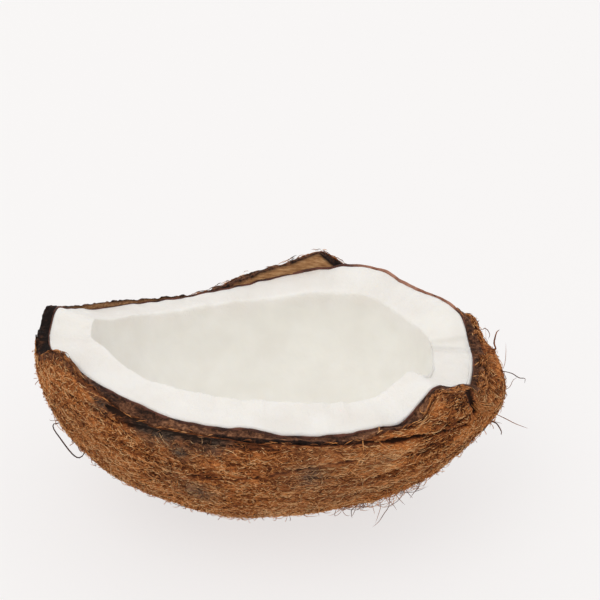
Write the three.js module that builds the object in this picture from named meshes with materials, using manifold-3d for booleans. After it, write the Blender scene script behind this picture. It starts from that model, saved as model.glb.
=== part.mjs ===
// Half of a dry brown coconut, broken open lengthwise, lying on its round side with the hollow up.
//
// Units are millimetres, +Z is up. The nut's long axis runs along X, the pointed end towards -X
// and the end with the eyes, under a pad of fibre, towards +X. The origin is on the surface that
// the half rests on, under the middle of the nut.
//
// The half is four layers, one inside the other: the fibrous coat, the hard shell, the thin brown
// seed coat and the white flesh. Each is a bowl between two skins of one form, the nut, and ends
// above in its own ragged break.

import * as THREE from "three";
import { ParametricGeometry } from "three/addons/geometries/ParametricGeometry.js";
import { mergeGeometries, mergeVertices } from "three/addons/utils/BufferGeometryUtils.js";
import Module from "manifold-3d";

const DEG = Math.PI / 180;

// ---- Driving dimensions: the nut, measured to the outside of its hard shell ----

const TIP_REACH = 68.5; // from the middle to the pointed end
const EYE_REACH = 64.2; // from the middle to the blunt end with the eyes
const HALF_WIDTH = 50.3; // middle to side, along Y
const HALF_DEPTH = 49.7; // middle to underside
// Towards the eye end the underside is shallower, fully so between two places along the nut.
const EYE_END_RISE = { height: 3, from: 80, full: 110, until: 130, gone: 170 };
const TIP_ROUNDNESS = 2; // exponent of the outline: 2 is an ellipse
const EYE_ROUNDNESS = 2.3; // more than 2 is blunter than an ellipse
const AXIS_HEIGHT = 51; // the nut's middle above the surface
const AXIS_TILT = 4.3 * DEG; // the pointed end lies a little higher

// Thickness of the layers, from the outside in. GAP keeps neighbours from touching.
const GAP = 0.35;
const COAT_THICKNESS = 1.6;
const SHELL_THICKNESS = 3.3;
const SEED_COAT_THICKNESS = 0.6;
const FLESH_THICKNESS = 11;

const COAT_INSIDE = GAP;
const COAT_OUTSIDE = COAT_INSIDE + COAT_THICKNESS;
const SHELL_INSIDE = -SHELL_THICKNESS;
const SEED_COAT_OUTSIDE = SHELL_INSIDE - GAP;
const SEED_COAT_INSIDE = SEED_COAT_OUTSIDE - SEED_COAT_THICKNESS;
const FLESH_OUTSIDE = SEED_COAT_INSIDE - GAP;
const FLESH_INSIDE = FLESH_OUTSIDE - FLESH_THICKNESS;

// Places along the nut, in degrees from the pointed end, 0, to the eye end, 180. They are closer
// together where a break line turns.
const STATIONS = [
  0, 4, 8, 12, 16, 20, 25, 30, 35, 41, 48, 56, 64, 72, 78, 84, 90, 96,
  101, 104, 107, 111, 116, 122, 127, 131, 136, 142, 148, 153, 158, 163, 169, 175, 180,
];
const SKIN_COLUMNS = 20; // steps round a smooth skin

// ---- The break, as [degrees along the nut, degrees above its long axis] ----

const FLESH_NEAR = [
  [0, 0], [9, -2], [12, 3], [17, 11.5], [20, 14], [23, 13.3], [28, 10.2], [32, 7], [36, 5.2],
  [44, 3.2], [54, 1.2], [62, -1.4], [77, -1.8], [85, -1.2], [90, -3], [96, -3.5], [107, -2.2],
  [119, -2], [122, 0.5], [127, 7.5], [130, 11.8], [134, 12.8], [141, 9], [148, 7.5], [154, 3],
  [160, -6], [166, -7], [180, 0],
];
const FLESH_FAR = [
  [0, 0], [6, 12], [10, 30], [13, 25], [17, 8.5], [20, 1], [25, -5], [30, -8.5], [34, -12],
  [48, -13.5], [59, -13.2], [69, -12], [78, -9.8], [87, -6.8], [95, -2.8], [103, 1.5], [108, 3.2],
  [112, 5.8], [118, 7.3], [127, 8.8], [132, 6], [140, 5.8], [145, 6.5], [149, 8.5], [154, 12],
  [159, 15.8], [163, 19.2], [168, 26], [174, 24], [180, 0],
];
const HOLLOW_NEAR = [
  [0, 0], [8, 30], [14, 22.5], [21, 20.8], [26, 19], [33, 12], [40, 6.2], [48, 3.5], [58, 3],
  [66, 2.4], [90, 2.4], [105, 1.4], [112, 0.8], [117, 1.6], [122, 4.8], [127, 10], [132, 14.5],
  [136, 14], [143, 11], [155, 1], [180, 0],
];
const HOLLOW_FAR = [
  [0, 0], [7, 45], [12, 28], [18, 4], [24, -6], [30, -11], [56, -13.5], [73, -11], [90, -7],
  [104, -1.5], [118, 1.5], [130, 3], [138, 0], [155, -5], [180, 0],
];
// The outside of the shell. On the near side it stands above the flesh as a lip beside the
// point; on the far side a piece of shell still stands up and the rest is broken off lower.
const SHELL_NEAR = [
  [0, 0], [3, -14], [5, -26], [10, -12], [16, 8], [20, 14], [24, 19], [28, 20.5], [30, 19],
  [34, 13.8], [38, 7.5], [41, 5.8], [47, 2.2], [51, -0.5], [58, -2], [76, -1.8], [81, -2.5],
  [91, -3], [99, -4], [118, -4.2], [122, -0.8], [125, 4.3], [128, 9.5], [131, 12.2], [135, 10.8],
  [144, 10.2], [149, 4], [156, -6], [166, -8], [180, 0],
];
const SHELL_FAR = [
  [0, 0], [4, -20], [8, -7], [11, 16], [13, 23], [16, 9], [19, 1], [22, -4], [27, -10],
  [32, -13.5], [38, -15.5], [60, -16], [70, -14], [78, -10.2], [84, -5.8], [89, -3], [95, 0.2],
  [97, 2.2], [103, 6.8], [105, 7.8], [109, 5], [112, 3], [114, 1], [126, 2], [131, -0.5],
  [145, -1], [150, 0.5], [157, 1], [161, 2], [163, 7], [169, 15], [175, 14], [180, 0],
];
// The inside of the shell, where it stands above the flesh on the far side.
const SHELL_LIP = [
  [0, -30], [17, 4], [20, 2.2], [25, -2.8], [31, -7], [35, -8], [44, -9.8], [54, -11.2],
  [70, -11], [76, -10.3], [81, -8.5], [85, -5.5], [91, -0.8], [94, 1.5], [97, 3.5], [101, 6.2],
  [104, 9.5], [110, 4], [116, -10], [180, -10],
];
const SHELL_EDGE_SLOPE = 0.6; // elsewhere the inside of the shell ends this much below the flesh
const COAT_DROP = 0.4; // the coat ends this much below the shell's outside
const COAT_RAGGEDNESS = 0.8; // and up to this much lower still, in places
const COAT_TIP_DROP = [[0, 0], [8, 16], [9, 32], [13, 38], [16, 12], [22, 0]]; // far side only

// ---- The coat ----

const RIB_COLUMNS = 60; // two for each rib of fibre, from one break to the other
const RIB_HEIGHT = 0.65;
const COAT_EDGE_THINNING = [0.45, 0.75, 0.95]; // share of thickness left, column by column
const COAT_TIP_THINNING = { share: 0.3, until: 50 }; // and towards the point of the nut
const PAD_CENTRE = new THREE.Vector3(57.5, -8, 38); // pad of matted fibre over the eyes
const PAD_HEIGHT = 6.5;
const PAD_REACH = 12.5;
const PAD_SLOPE = 0.09; // share of the way round over which the pad falls to the rims
const CREVICE = { along: 157, width: 3, depth: 1.1, lowest: -152 }; // split beside the pad
const SEAT_PRESS = 1.4; // fibre this close to the surface is pressed flat onto it

// Loose strands of coir, fused into the coat by their roots.
const STRAND = { radius: 0.55, sides: 3, steps: 2, sink: 0.95, clearance: 0.4 };
const STRAND_GROUPS = [
  // All over, short and lying close.
  { count: 76, along: [32, 160], across: [0.06, 0.94], length: [5, 9], rise: [0.2, 0.55] },
  // Under the eye end, longer and coarser.
  { count: 36, along: [104, 158], across: [0.15, 0.7], length: [7, 13], rise: [0.3, 0.75] },
  // In the pad, standing out.
  { count: 34, along: [158, 176], across: [0.08, 0.9], length: [7, 12], rise: [0.35, 0.9] },
];
const RANDOM_SEED = 20423;

const COLOURS = {
  coat: new THREE.MeshStandardMaterial({ color: 0x7c4a28, roughness: 0.95, metalness: 0 }),
  shell: new THREE.MeshStandardMaterial({ color: 0x33211a, roughness: 0.7, metalness: 0 }),
  seedCoat: new THREE.MeshStandardMaterial({ color: 0x6e3527, roughness: 0.7, metalness: 0 }),
  flesh: new THREE.MeshStandardMaterial({ color: 0xf1ede6, roughness: 0.45, metalness: 0 }),
};

// ---- The nut's form ----

const LAY_DOWN = new THREE.Matrix4().makeRotationY(AXIS_TILT).setPosition(0, 0, AXIS_HEIGHT);

/** How deep the nut is below its long axis at a place along it, for a skin at an offset. The
 * rise of the eye end grows less inward, and the hollow has none. */
function depthBelow(along, offset) {
  const { height, from, full, until, gone } = EYE_END_RISE;
  const rising = THREE.MathUtils.smoothstep(along / DEG, from, full);
  const fading = THREE.MathUtils.smoothstep(along / DEG, until, gone);
  return HALF_DEPTH - height * rising * (1 - fading) * (1 - offset / FLESH_INSIDE);
}

/** A point of the nut's form, and the direction straight out of it.
 * The section round the long axis is an ellipse. Along the axis the outline is
 * |x / reach|^roundness + |r|^roundness = 1, with its own reach and roundness at each end. */
function nutPoint(along, round, offset) {
  const towardsEye = -Math.cos(along);
  const reach = towardsEye > 0 ? EYE_REACH : TIP_REACH;
  const power = 2 / (towardsEye > 0 ? EYE_ROUNDNESS : TIP_ROUNDNESS);
  const across = Math.abs(Math.sin(along));
  const side = Math.sign(towardsEye);
  const lean = Math.abs(towardsEye) ** (2 - power) * side;
  const girth = across ** (2 - power);
  const depth = Math.sin(round) < 0 ? depthBelow(along, offset) : HALF_DEPTH;

  const point = new THREE.Vector3(
    reach * side * Math.abs(towardsEye) ** power,
    HALF_WIDTH * across ** power * Math.cos(round),
    depth * across ** power * Math.sin(round),
  );
  const out = new THREE.Vector3(
    lean / reach,
    (girth * Math.cos(round)) / HALF_WIDTH,
    (girth * Math.sin(round)) / depth,
  ).normalize();
  point.addScaledVector(out, offset).applyMatrix4(LAY_DOWN);
  out.transformDirection(LAY_DOWN);
  return { point, out };
}

/** Height of a line of [degrees along, value] pairs at one place, straight between the pairs. */
function readLine(line, degrees) {
  const next = line.findIndex(([at]) => at >= degrees);
  if (next < 0) return line[line.length - 1][1];
  if (next === 0) return line[0][1];
  const [from, low] = line[next - 1];
  const [to, high] = line[next];
  return low + ((high - low) * (degrees - from)) / (to - from);
}

/** Angle along the nut of a station, from 0 at the first to 1 at the last. */
function stationAngle(u) {
  return STATIONS[Math.round(u * (STATIONS.length - 1))];
}

// Each rim gives, for degrees along the nut, the angle round the axis where a skin ends. The
// near rim is on the -Y side, the far rim on the +Y side.
const nearRim = (lift) => (degrees) => (-180 - lift(degrees)) * DEG;
const farRim = (lift) => (degrees) => lift(degrees) * DEG;

const fleshNear = (degrees) => readLine(FLESH_NEAR, degrees);
const fleshFar = (degrees) => readLine(FLESH_FAR, degrees);
const shellNear = (degrees) => readLine(SHELL_NEAR, degrees);
const shellFar = (degrees) => readLine(SHELL_FAR, degrees);
const belowFlesh = (lift) => (degrees) =>
  lift(degrees) - SHELL_EDGE_SLOPE * Math.sin(degrees * DEG);
const shellLip = (degrees) => Math.max(belowFlesh(fleshFar)(degrees), readLine(SHELL_LIP, degrees));
const atTip = (lift) => (degrees) => lift(degrees) - readLine(COAT_TIP_DROP, degrees);
const ragged = (lift, phase) => (degrees) =>
  lift(degrees) - (COAT_DROP + COAT_RAGGEDNESS * Math.sin(degrees * 1.3 + phase) ** 2) *
  Math.sin(degrees * DEG);

/** One skin: a grid from the near rim under the nut to the far rim, and from end to end.
 * place(along, round, v) gives the point, with v from 0 at the near rim to 1 at the far rim. */
function skin(near, far, place) {
  return (u, v) => {
    const degrees = stationAngle(u);
    const round = THREE.MathUtils.lerp(near(degrees), far(degrees), v);
    return place(degrees * DEG, round, v);
  };
}

const smoothSkin = (near, far, offset) =>
  skin(near, far, (along, round) => nutPoint(along, round, offset).point);

/** A closed bowl between two skins, joined along both rims by strips of break surface. */
function bowl(outside, inside, outsideColumns = SKIN_COLUMNS, insideColumns = SKIN_COLUMNS) {
  const rows = STATIONS.length - 1;
  const strip = (v) => (u, across) => outside(u, v).lerp(inside(u, v), across);
  const patch = (surface, columns) =>
    new ParametricGeometry((u, v, target) => target.copy(surface(u, v)), rows, columns);
  const flipped = (surface) => (u, v) => surface(u, 1 - v);
  return closeMesh([
    patch(outside, outsideColumns),
    patch(flipped(inside), insideColumns),
    patch(flipped(strip(0)), 1),
    patch(strip(1), 1),
  ]);
}

/** Patches that meet edge to edge, as one mesh with shared vertices and its faces outward. */
function closeMesh(patches) {
  for (const patch of patches) {
    patch.deleteAttribute("normal");
    patch.deleteAttribute("uv");
  }
  const mesh = mergeVertices(mergeGeometries(patches), 1e-3);
  const corners = Array.from(mesh.index.array);
  const kept = [];
  for (let i = 0; i < corners.length; i += 3) {
    const [a, b, c] = corners.slice(i, i + 3);
    if (a !== b && b !== c && c !== a) kept.push(a, b, c);
  }
  mesh.setIndex(signedVolume(mesh, kept) < 0 ? kept.reverse() : kept);
  return mesh;
}

/** Six times the volume inside a mesh, negative where its faces point inward. */
function signedVolume(mesh, corners) {
  const [a, b, c] = [new THREE.Vector3(), new THREE.Vector3(), new THREE.Vector3()];
  let volume = 0;
  for (let i = 0; i < corners.length; i += 3) {
    a.fromBufferAttribute(mesh.attributes.position, corners[i]);
    b.fromBufferAttribute(mesh.attributes.position, corners[i + 1]);
    c.fromBufferAttribute(mesh.attributes.position, corners[i + 2]);
    volume += a.dot(b.cross(c));
  }
  return volume;
}

// ---- The coat's outside: ribs of fibre, thin edges, a pad over the eyes, a crevice, a seat ----

const coatNear = nearRim(ragged(shellNear, 0));
const coatFar = farRim(ragged(atTip(shellFar), 2));

/** Height of the pad over the eyes at a point of the nut, v of the way from rim to rim. */
function padHeight(point, v) {
  const fromRim = THREE.MathUtils.smoothstep(Math.min(v, 1 - v), 0, PAD_SLOPE);
  return PAD_HEIGHT * fromRim * Math.exp(-((point.distanceTo(PAD_CENTRE) / PAD_REACH) ** 2));
}

/** How far the coat's outside stands off the shell: its thickness, less towards the rims and in
 * the crevice, plus ribs that swell and fade along the nut, plus the pad. */
function coatOffset(along, round, v) {
  const column = v * RIB_COLUMNS;
  const fromRim = Math.round(Math.min(column, RIB_COLUMNS - column));
  const swell = 0.65 + 0.35 * Math.sin(3 * along + 1.9 * column);
  const rib = RIB_HEIGHT * swell * Math.cos(Math.PI * column) * Math.sin(along);
  const fromTip = THREE.MathUtils.smoothstep(along / DEG, 0, COAT_TIP_THINNING.until);
  const share =
    (COAT_EDGE_THINNING[fromRim] ?? 1) * THREE.MathUtils.lerp(COAT_TIP_THINNING.share, 1, fromTip);

  const pad = padHeight(nutPoint(along, round, 0).point, v);
  const fromCrevice = (along / DEG - CREVICE.along) / CREVICE.width;
  const inCrevice = round < CREVICE.lowest * DEG ? Math.exp(-(fromCrevice ** 2)) : 0;
  return COAT_INSIDE + COAT_THICKNESS * share + rib * share + pad - CREVICE.depth * inCrevice;
}

function coatPoint(along, round, v) {
  const { point } = nutPoint(along, round, coatOffset(along, round, v));
  if (point.z < SEAT_PRESS) point.z = 0;
  return point;
}

/** A repeatable stream of numbers from 0 to 1. */
function randomStream(seed) {
  let state = seed;
  return () => {
    state = (state + 0x6d2b79f5) | 0;
    let mixed = Math.imul(state ^ (state >>> 15), 1 | state);
    mixed = (mixed + Math.imul(mixed ^ (mixed >>> 7), 61 | mixed)) ^ mixed;
    return ((mixed ^ (mixed >>> 14)) >>> 0) / 4294967296;
  };
}

/** One strand: a slender cone bent along a curve that leaves the coat at a slant and droops. */
function strand(group, random) {
  const between = ([low, high]) => low + (high - low) * random();
  const degrees = between(group.along);
  const v = between(group.across);
  const round = THREE.MathUtils.lerp(coatNear(degrees), coatFar(degrees), v);
  const root = nutPoint(degrees * DEG, round, COAT_OUTSIDE);
  const length = between(group.length);
  const rise = between(group.rise);
  root.point.addScaledVector(root.out, padHeight(root.point, v) - STRAND.sink);

  const heading = new THREE.Vector3(between([-1, 1]), between([-0.6, 0.6]), between([-0.6, 0.6]));
  heading.addScaledVector(root.out, -heading.dot(root.out)).normalize();
  const middle = root.point.clone().addScaledVector(heading, length * 0.45);
  middle.addScaledVector(root.out, length * rise * 0.6 + STRAND.sink);
  const end = root.point.clone().addScaledVector(heading, length);
  end.addScaledVector(root.out, length * rise * 0.75 + STRAND.sink);
  if (Math.min(middle.z, end.z) < STRAND.clearance + STRAND.radius) return null;

  const curve = new THREE.QuadraticBezierCurve3(root.point, middle, end);
  const side = new THREE.Vector3().crossVectors(heading, root.out);
  const cone = new THREE.ConeGeometry(STRAND.radius, 1, STRAND.sides, STRAND.steps);
  const corners = cone.attributes.position;
  for (let i = 0; i < corners.count; i += 1) {
    const onCurve = curve.getPoint(corners.getY(i) + 0.5);
    onCurve.addScaledVector(side, corners.getX(i)).addScaledVector(root.out, corners.getZ(i));
    corners.setXYZ(i, onCurve.x, onCurve.y, onCurve.z);
  }
  return closeMesh([cone]);
}

function strands() {
  const random = randomStream(RANDOM_SEED);
  const grown = [];
  for (const group of STRAND_GROUPS) {
    for (let i = 0; i < group.count; i += 1) grown.push(strand(group, random));
  }
  return grown.filter((cone) => cone !== null);
}

/** Closed meshes fused into one. */
async function fuse(meshes) {
  const wasm = await Module();
  wasm.setup();
  const solids = meshes.map((mesh) => {
    const vertProperties = new Float32Array(mesh.attributes.position.array);
    const triVerts = new Uint32Array(mesh.index.array);
    return new wasm.Manifold(new wasm.Mesh({ numProp: 3, vertProperties, triVerts }));
  });
  const joined = solids.reduce((whole, solid) => whole.add(solid)).getMesh();
  const fused = new THREE.BufferGeometry();
  fused.setAttribute("position", new THREE.BufferAttribute(joined.vertProperties, 3));
  fused.setIndex(new THREE.BufferAttribute(joined.triVerts, 1));
  return fused;
}

// ---- The four layers ----

function makeFlesh() {
  const outside = smoothSkin(nearRim(fleshNear), farRim(fleshFar), FLESH_OUTSIDE);
  const hollowNear = nearRim((degrees) => readLine(HOLLOW_NEAR, degrees));
  const hollowFar = farRim((degrees) => readLine(HOLLOW_FAR, degrees));
  return bowl(outside, smoothSkin(hollowNear, hollowFar, FLESH_INSIDE));
}

function makeSeedCoat() {
  const near = nearRim(fleshNear);
  const far = farRim(fleshFar);
  return bowl(smoothSkin(near, far, SEED_COAT_OUTSIDE), smoothSkin(near, far, SEED_COAT_INSIDE));
}

function makeShell() {
  return bowl(
    smoothSkin(nearRim(shellNear), farRim(shellFar), 0),
    smoothSkin(nearRim(belowFlesh(fleshNear)), farRim(shellLip), SHELL_INSIDE),
  );
}

function makeCoat() {
  const inside = smoothSkin(coatNear, coatFar, COAT_INSIDE);
  return bowl(skin(coatNear, coatFar, coatPoint), inside, RIB_COLUMNS);
}

function layer(name, geometry, material) {
  const mesh = new THREE.Mesh(geometry, material);
  mesh.name = name;
  return mesh;
}

const coconutHalf = new THREE.Group();
coconutHalf.add(
  layer("flesh", makeFlesh(), COLOURS.flesh),
  layer("seed_coat", makeSeedCoat(), COLOURS.seedCoat),
  layer("shell", makeShell(), COLOURS.shell),
  layer("fibre_coat", await fuse([makeCoat(), ...strands()]), COLOURS.coat),
);

export default coconutHalf;
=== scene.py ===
"""Half of a dry brown coconut, broken open lengthwise, lying on its round side with its hollow up.

From the inside out it is flesh, seed coat, shell and a coat of matted fibre. Shapes are worked out
in millimetres and turned into metres when a mesh is made. The nut's long axis runs along X.
"""

import itertools
import math

import bmesh
import bpy
import numpy as np
from mathutils import Matrix, Vector


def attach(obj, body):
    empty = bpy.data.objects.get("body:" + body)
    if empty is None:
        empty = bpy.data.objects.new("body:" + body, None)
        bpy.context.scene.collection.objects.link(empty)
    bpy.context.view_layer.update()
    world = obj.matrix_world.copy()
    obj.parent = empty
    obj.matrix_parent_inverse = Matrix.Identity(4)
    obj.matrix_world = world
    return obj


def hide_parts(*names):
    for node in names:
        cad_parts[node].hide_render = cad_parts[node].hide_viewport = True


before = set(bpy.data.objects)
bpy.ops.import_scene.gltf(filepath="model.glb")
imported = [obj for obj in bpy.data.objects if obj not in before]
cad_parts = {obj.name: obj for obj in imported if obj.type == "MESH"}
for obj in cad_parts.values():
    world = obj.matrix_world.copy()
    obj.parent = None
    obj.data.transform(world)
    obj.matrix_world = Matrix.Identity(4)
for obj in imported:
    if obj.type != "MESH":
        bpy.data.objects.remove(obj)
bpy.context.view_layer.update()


# ---- Flesh ----
# The white flesh is one thick, firm bowl, grown against the inside of the shell. It broke with the
# shell, so its edge is a broad, slightly wavy face, and the hollow inside it is smooth and greyer.

MM = 0.001
TIP_REACH = 68.5  # from the middle to the pointed end, measured to the outside of the shell
EYE_REACH = 64.2  # from the middle to the blunt end with the eyes
HALF_WIDTH = 50.3
HALF_DEPTH = 49.7
TIP_ROUNDNESS = 2.0  # exponent of the outline: 2 is an ellipse
EYE_ROUNDNESS = 2.3
AXIS_HEIGHT = 51.0
AXIS_TILT = math.radians(4.3)  # the pointed end lies a little higher
EYE_END_RISE = 3.0  # towards the eye end the underside is shallower
RISE_SPAN = (80, 110, 130, 170)  # degrees along the nut over which that comes and goes

FLESH_OUTSIDE = -3.5  # mm from the outside of the shell, where inward is negative
FLESH_INSIDE = -15.6

# The break and the hollow's edge, as (degrees along the nut, degrees above its long axis).
FLESH_NEAR = [
    (0, 0), (9, -2), (12, 3), (17, 11.5), (20, 14), (23, 13.3), (28, 10.2), (32.5, 6.8),
    (36, 5.2), (44, 3.2), (54, 1.2), (62, -1.4), (77, -1.8), (80.5, -0.2), (85, -1.2), (90, -3),
    (96, -3.5), (107, -2.2), (113, -1.2), (119, -2), (122, 0.5), (127, 7.5), (130, 11.8),
    (134, 12.8), (141, 9), (146, 8.8), (149.5, 6.8), (154, 3), (160, -6), (166, -7), (180, 0),
]
FLESH_FAR = [
    (0, 0), (6, 12), (10, 30), (13, 25), (17, 8.5), (20, 1), (25.5, -5.5), (30, -8.5), (34, -12),
    (38, -13), (48, -13.5), (59, -13.2), (69, -12), (78, -9.8), (87.5, -6.8), (95, -2.8),
    (103, 1.5), (108, 3.2), (112, 5.8), (118, 7.3), (127, 8.8), (130, 7.8), (132.5, 6), (140, 5.8),
    (145, 6.5), (149, 8.5), (154.5, 12), (159, 15.8), (163, 19.2), (168, 26), (174, 24), (180, 0),
]
HOLLOW_NEAR = [
    (0, 0), (8, 30), (14.5, 22.5), (21, 20.8), (26, 19), (33, 12), (40, 6.2), (48, 3.5), (58, 3),
    (66, 2.4), (90, 2.4), (105, 1.4), (112, 0.8), (117, 1.6), (122, 4.8), (126.5, 9.8),
    (132, 14.5), (136, 14), (143, 11), (155, 1), (180, 0),
]
HOLLOW_FAR = [
    (0, 0), (7, 45), (12, 28), (18, 4), (24, -6), (30, -11), (56, -13.5), (73, -11), (90, -7),
    (104, -1.5), (118, 1.5), (130, 3), (138, 0), (155, -5), (180, 0),
]


def ease(value, low, high):
    """From 0 at low to 1 at high by 3t^2 - 2t^3, and level beyond."""
    share = np.clip((value - low) / (high - low), 0, 1)
    return share * share * (3 - 2 * share)


def comes_and_goes(value, start, full, fading, end):
    """From 0 to 1 between start and full, and back to 0 between fading and end."""
    return ease(value, start, full) * (1 - ease(value, fading, end))


def unit(vectors):
    """The vectors' directions, each with a length of 1."""
    return vectors / np.maximum(np.linalg.norm(vectors, axis=-1, keepdims=True), 1e-9)


def nut_surface(along, around, offset):
    """Points of the nut's form at degrees along and around it, and the directions straight out.

    Round the long axis the section is an ellipse. Along the axis the outline is
    |x / reach|^roundness + |r|^roundness = 1, with its own reach and roundness at each end. Below
    the axis the ellipse is shallower towards the eye end, less so inward and not in the hollow.
    The point is moved out by the offset, then the nut is tilted and lifted to where it lies.
    """
    along, around, offset = np.broadcast_arrays(*np.atleast_1d(along, around, offset))
    lengthwise = -np.cos(np.radians(along))
    across = np.abs(np.sin(np.radians(along)))
    side = np.where(lengthwise > 0, 1.0, -1.0)
    reach = np.where(lengthwise > 0, EYE_REACH, TIP_REACH)
    power = 2 / np.where(lengthwise > 0, EYE_ROUNDNESS, TIP_ROUNDNESS)
    cos, sin = np.cos(np.radians(around)), np.sin(np.radians(around))
    rise = EYE_END_RISE * comes_and_goes(along, *RISE_SPAN)
    depth = HALF_DEPTH - np.where(sin < 0, rise * (1 - offset / FLESH_INSIDE), 0)
    lengthwise = np.abs(lengthwise)
    ahead, girth = side * lengthwise**power, across**power
    point = np.stack([reach * ahead, HALF_WIDTH * girth * cos, depth * girth * sin], axis=-1)
    ahead, girth = side * lengthwise ** (2 - power), across ** (2 - power)
    out = unit(np.stack([ahead / reach, girth * cos / HALF_WIDTH, girth * sin / depth], axis=-1))
    point = point + out * offset[..., None]
    tilt = np.array(Matrix.Rotation(AXIS_TILT, 3, "Y"))
    return point @ tilt.T + (0, 0, AXIS_HEIGHT), out @ tilt.T


def break_line(pairs, softness):
    """A function that reads the line at any degrees along the nut.

    The line runs straight between its pairs, averaged by a bell curve of that softness in degrees,
    and falls to 0 at the nut's very ends.
    """
    step = 0.25
    degrees = np.arange(-20, 200 + step, step)
    heights = np.interp(degrees, *np.transpose(pairs))
    bell = np.exp(-0.5 * (np.arange(-20, 20 + step, step) / softness) ** 2)
    smooth = np.convolve(heights, bell / bell.sum(), mode="same")
    return lambda along: np.interp(along, degrees, smooth) * np.sin(np.radians(along)) ** 0.05


def cloud(points, size, seed):
    """Smooth noise from -1 to 1 in space: random values on a cubic lattice with cells of that
    size, mixed between each cell's eight corners with the weight 3t^2 - 2t^3 on every axis."""
    cells = 32
    lattice = np.random.default_rng(seed).uniform(-1, 1, (cells, cells, cells))
    place = np.asarray(points) / size
    cell = np.floor(place).astype(int)
    share = place - cell
    share = share * share * (3 - 2 * share)
    total = 0.0
    for corner in itertools.product((0, 1), repeat=3):
        x, y, z = np.moveaxis((cell + corner) % cells, -1, 0)
        total = total + np.prod(np.where(corner, share, 1 - share), axis=-1) * lattice[x, y, z]
    return total


def relief(points, *waves):
    """The sum of cloud noises, each given as its height in mm, its size in mm and its seed."""
    return sum(height * cloud(points, size, seed) for height, size, seed in waves)


def ragged(along, size, seed):
    """The cloud noise along a line, at degrees along the nut, with its size in degrees."""
    along = np.asarray(along, float)
    return cloud(np.stack([along, np.full_like(along, seed), 0 * along], axis=-1), size, seed)


RIM_CROWDING = 0.3  # from 0, evenly spaced columns, to 1, spaced as a cosine


def skin(along, near, far, columns):
    """A grid of degrees along and around: each row runs from the near rim, under the nut, to the
    far rim. The columns crowd a little towards both rims."""
    share = np.linspace(0, 1, columns)
    share = (1 - RIM_CROWDING) * share + RIM_CROWDING * (1 - np.cos(np.pi * share)) / 2
    around = near[:, None] + (far - near)[:, None] * share
    return np.repeat(along[:, None], columns, axis=1), around


def bowl_loops(outside, inside, rim_steps, blur):
    """Rows of closed loops: over the outside from the near rim to the far rim, across the far
    break, back over the inside, and across the near break. The loops are then averaged with
    their neighbours 1:2:1, blur times, which rounds the rims' edges."""
    share = np.linspace(0, 1, rim_steps + 2)[1:-1, None]
    far = outside[:, -1, None] * (1 - share) + inside[:, -1, None] * share
    near = inside[:, 0, None] * (1 - share) + outside[:, 0, None] * share
    loops = np.concatenate([outside, far, inside[:, ::-1], near], axis=1)
    for _ in range(blur):
        loops = (np.roll(loops, 1, axis=1) + 2 * loops + np.roll(loops, -1, axis=1)) / 4
    return loops


def roughen(loops, height):
    """Moves a grid of closed loops along its own normals by a height for each point. The end
    rows stay, because there the loops close on a line."""
    ahead = np.gradient(loops, axis=0)
    round_the_loop = np.roll(loops, -1, axis=1) - np.roll(loops, 1, axis=1)
    height = height.copy()
    height[[0, -1]] = 0
    return loops + unit(np.cross(ahead, round_the_loop)) * height[..., None]


def add_mask(mesh, label, values):
    """Stores a value for each vertex, which the material reads."""
    values = np.ascontiguousarray(values, np.float32).ravel()
    mesh.attributes.new(label, "FLOAT", "POINT").data.foreach_set("value", values)


def loop_mesh(name, loops, masks):
    """A closed mesh from rows of loops, welded at both ends, with its masks."""
    rows, columns = loops.shape[:2]
    corner = np.arange(rows * columns).reshape(rows, columns)
    right = np.roll(corner, -1, axis=1)
    faces = np.stack([corner[:-1], right[:-1], right[1:], corner[1:]], axis=-1).reshape(-1, 4)
    mesh = bpy.data.meshes.new(name)
    mesh.from_pydata(loops.reshape(-1, 3) * MM, [], faces)
    for label, mask in masks.items():
        add_mask(mesh, label, np.broadcast_to(mask, (rows, columns)))
    work = bmesh.new()
    work.from_mesh(mesh)
    bmesh.ops.remove_doubles(work, verts=work.verts, dist=1e-6)
    bmesh.ops.recalc_face_normals(work, faces=work.faces)
    work.to_mesh(mesh)
    work.free()
    return finished(name, mesh)


def finished(name, mesh):
    """The mesh as a smooth-shaded object in the scene."""
    mesh.polygons.foreach_set("use_smooth", [True] * len(mesh.polygons))
    mesh.update()
    piece = bpy.data.objects.new(name, mesh)
    bpy.context.scene.collection.objects.link(piece)
    return piece


def hand_over(piece, material, node):
    """Gives the piece its material and the root body, and hides the CAD node it stands for."""
    piece.data.materials.append(material)
    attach(piece, "root")
    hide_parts(node)


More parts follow.
